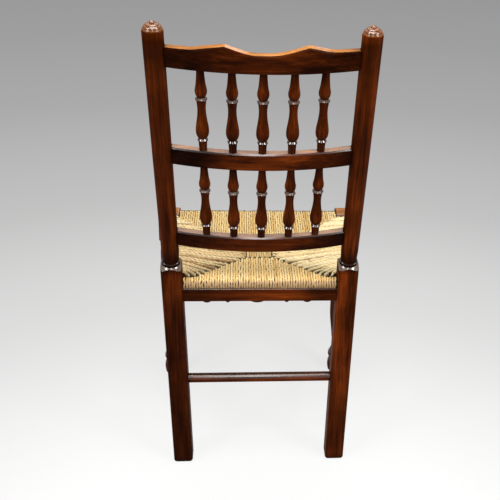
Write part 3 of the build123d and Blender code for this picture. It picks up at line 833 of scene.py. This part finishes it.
def side_panel(name, side, tint, shade, twist):
    """Left or right panel: strands that run sideways, and bend round the rear leg."""
    weave = Weave(side_wander)
    first = -leg_size / 2 - strand_radius
    last = -leg_spacing + block_size / 2 + strand_radius
    inner_x = rear_leg_x - leg_size / 2
    for number in range(side_strand_count):
        share = number / (side_strand_count - 1)
        y_rail = rear_y + first + (last - first) * share
        seam_drop = side_seam_ends[0] + (side_seam_ends[1] - side_seam_ends[0]) * share
        x_seam = side_seam(seam_drop) + end_shift(number + 1, side_gap)
        x_outer = rush_edge_x(side, y_rail)
        length = max(x_outer - x_seam - strand_radius, roll_radius)
        x_turn = max(min(inner_x, x_outer - roll_radius), x_seam + side_turn_run)
        bend = float(smooth(1.0 - share / side_bend_share))
        weave.strand(side_plan(side, x_seam, x_turn, rear_y + seam_drop, y_rail, bend), length)
    marks = (0.5, 2.2, 1.0)
    straw = rush_material(name, tint, shade, twist, gaps=0.12, marks=marks, streaks=0.5)
    return weave.build(name, straw)


def packing_height(inset, level):
    """Top or underside of the packing at a distance from its edge."""
    depth = seat_sag * float(smooth(inset / sag_run))
    edge = packing_edge_drop * (1.0 - float(smooth(inset / packing_edge_run)))
    if level > 0:
        return rush_high.z - packing_cover - depth - edge
    return rush_low.z + packing_cover + underside_sag * depth + edge


def packing():
    """Loose rush between the layers, painted dark as the shade in the gaps, sunk in the middle with the
    seat.
    """
    steps = packing_steps
    size = steps + 1
    middle_y = rear_y - packing_setback - packing_half_depth
    points = []
    for level in (1, -1):
        for i in range(size):
            for j in range(size):
                y = middle_y + packing_half_depth * (1 - 2 * j / steps)
                half = min(rush_edge_x(1, y), rush_edge_x(-1, y)) - packing_side_margin
                x = half * (2 * i / steps - 1)
                inset = min(half - abs(x), packing_half_depth - abs(y - middle_y))
                points.append((x, y, packing_height(inset, level)))
    faces = []
    for base in (0, size * size):
        for i in range(steps):
            for j in range(steps):
                corner = base + i * size + j
                quad = [corner, corner + size, corner + size + 1, corner + 1]
                faces.append(quad if base else quad[::-1])
    rim = [i * size for i in range(steps)] + [steps * size + j for j in range(steps)]
    rim += [i * size + steps for i in range(steps, 0, -1)] + list(range(steps, 0, -1))
    for here, there in zip(rim, rim[1:] + rim[:1]):
        faces.append([there, here, here + size * size, there + size * size])
    mesh = bpy.data.meshes.new("rush_packing")
    mesh.from_pydata(points, [], faces)
    # painted dark, for the shade seen through the gaps in the seams
    dark = rush_material("rush_packing_shade", golden, shade=0.08)
    add_piece("rush_packing", mesh, dark, "seat_stuffing")


def rush():
    """The four woven panels, between the legs, and the packing under them."""
    inner_x = rear_leg_x - leg_size / 2 - leg_gap
    left_x = front_leg_x(1) - block_size / 2 - leg_gap
    right_x = front_leg_x(-1) - block_size / 2 - leg_gap
    front_edge = rush_low.y - front_proud
    cross_panel("rush_rear", rush_high.y, 1, rear_seam, -inner_x, inner_x, shade=1.0)
    cross_panel("rush_front", front_edge, -1, front_seam, -right_x, left_x, shade=0.78)
    side_panel("rush_left", 1, warm_straw, shade=0.87, twist=0.5)
    side_panel("rush_right", -1, pale_straw, shade=0.99, twist=0.7)
    packing()


# Studio

background = (
    (0.0, 250),
    (0.5, 252),
    (1.22, 222),
    (2.1, 196),
    (3.7, 176),
    (6.0, 166),
    (9.5, 159),
    (20.0, 169),
)  # the grey levels of the floor's painted glow at distances from its palest spot, behind the chair
palest_spot = (0.0, 0.6, 0.0)
gamma = 2.2
far_grey = (160 / 255) ** gamma
backdrop_share = 0.86  # of what a camera sees of the floor: the rest is lit, and holds the shadow
ambient = 0.14  # strength of the dim light from all round
floor_reach = 60.0
floor_drop = 0.0005
lamp_aim = Vector((0.0, 0.0, 0.55))
lamp_colour = (1.0, 0.985, 0.96)
lamps = (
    ("rear_left", (1.75, 1.45, 2.3), 0.75, 0.9, 31.0),
    ("rear_right", (-1.75, 1.45, 2.3), 0.75, 0.9, 37.0),
    ("behind", (0.0, 1.9, 2.6), 0.5, 1.8, 16.0),
    ("above", (0.0, 0.3, 2.9), 1.3, 1.3, 37.0),
    ("front", (0.0, -1.75, 3.1), 3.0, 0.9, 12.0),
    ("side_left", (2.5, 0.7, 1.0), 0.8, 1.4, 15.0),
    ("side_right", (-2.5, 0.7, 1.0), 0.8, 1.4, 15.0),
)  # name, place, width, height and watts


def backdrop_seen(shader):
    """1 where a camera, mirror or glass ray meets the surface."""
    path = shader.add("ShaderNodeLightPath")
    seen = shader.math("MAXIMUM", path.outputs["Is Camera Ray"], path.outputs["Is Glossy Ray"])
    return shader.math("MAXIMUM", seen, path.outputs["Is Transmission Ray"])


def floor_material():
    """Pale floor with a painted glow, lighter around the chair and greyer far away."""
    shader = Shader("floor_pale")
    away = shader.vector("DISTANCE", shader.place, palest_spot, "Value")
    farthest = background[-1][0]
    stops = [(distance / farthest, (value / 255) ** gamma) for distance, value in background]
    tone = shader.levels(shader.math("DIVIDE", away, farthest, clamp=True), stops)
    shader.set("Base Color", tone)
    shader.set("Roughness", 1.0)
    shader.set("Specular IOR Level", 0.0)
    glow = shader.add("ShaderNodeEmission")
    shader.link(tone, glow.inputs["Color"])
    blend = shader.add("ShaderNodeMixShader")
    shader.link(shader.product(backdrop_seen(shader), backdrop_share), blend.inputs[0])
    shader.link(shader.surface.outputs[0], blend.inputs[1])
    shader.link(glow.outputs[0], blend.inputs[2])
    shader.link(blend.outputs[0], shader.output.inputs["Surface"])
    return shader.material


def floor():
    mesh = bpy.data.meshes.new("floor")
    turns = ((-1, -1), (1, -1), (1, 1), (-1, 1))
    corners = [(x * floor_reach, y * floor_reach, 0.0) for x, y in turns]
    mesh.from_pydata(corners, [], [(0, 1, 2, 3)])
    mesh.materials.append(floor_material())
    piece = bpy.data.objects.new("floor", mesh)
    piece.location.z = -floor_drop
    bpy.context.scene.collection.objects.link(piece)


def sky():
    """Dim light from all round, behind the same grey as the far floor."""
    world = bpy.data.worlds.new("studio")
    world.use_nodes = True
    tree = world.node_tree
    dim = tree.nodes["Background"]
    dim.inputs["Color"].default_value = (1.0, 1.0, 1.0, 1.0)
    dim.inputs["Strength"].default_value = ambient
    wall = tree.nodes.new("ShaderNodeBackground")
    wall.inputs["Color"].default_value = (far_grey, far_grey, far_grey, 1.0)
    path = tree.nodes.new("ShaderNodeLightPath")
    seen = path.outputs["Is Camera Ray"]
    for name in ("Is Glossy Ray", "Is Transmission Ray"):
        node = tree.nodes.new("ShaderNodeMath")
        node.operation = "MAXIMUM"
        tree.links.new(seen, node.inputs[0])
        tree.links.new(path.outputs[name], node.inputs[1])
        seen = node.outputs[0]
    blend = tree.nodes.new("ShaderNodeMixShader")
    tree.links.new(seen, blend.inputs[0])
    tree.links.new(dim.outputs[0], blend.inputs[1])
    tree.links.new(wall.outputs[0], blend.inputs[2])
    tree.links.new(blend.outputs[0], tree.nodes["World Output"].inputs["Surface"])
    bpy.context.scene.world = world


def softbox(name, place, width, height, power):
    """Soft lamp that faces the middle of the chair."""
    light = bpy.data.lights.new(name, "AREA")
    light.shape = "RECTANGLE"
    light.size = width
    light.size_y = height
    light.energy = power
    light.color = lamp_colour
    lamp = bpy.data.objects.new(name, light)
    lamp.location = place
    aim = lamp_aim - Vector(place)
    lamp.rotation_euler = aim.to_track_quat("-Z", "Y").to_euler()
    bpy.context.scene.collection.objects.link(lamp)


def studio():
    floor()
    sky()
    for lamp in lamps:
        softbox(*lamp)


def camera():
    """The photograph's camera: its place, its turn and its off-centre frame."""
    forward = Vector((math.sin(camera_yaw), -math.cos(camera_yaw), 0.0)) * math.cos(camera_pitch)
    forward.z = -math.sin(camera_pitch)
    level = Vector((-math.cos(camera_yaw), -math.sin(camera_yaw), 0.0))
    upright = level.cross(forward)
    right = math.cos(camera_roll) * level + math.sin(camera_roll) * upright
    up = math.cos(camera_roll) * upright - math.sin(camera_roll) * level
    lens = bpy.data.cameras.new("camera")
    lens.sensor_width = sensor_width
    lens.lens = focal_pixels / image_size * sensor_width
    lens.shift_x = (image_size / 2 - principal_point[0]) / image_size
    lens.shift_y = (principal_point[1] - image_size / 2) / image_size
    eye = bpy.data.objects.new("camera", lens)
    turn = Matrix((right, up, -forward)).transposed()
    eye.matrix_world = Matrix.Translation(camera_place) @ turn.to_4x4()
    bpy.context.scene.collection.objects.link(eye)
    bpy.context.scene.camera = eye


dress_nodes()
rush()
studio()
camera()
bpy.context.scene.view_settings.view_transform = "Standard"
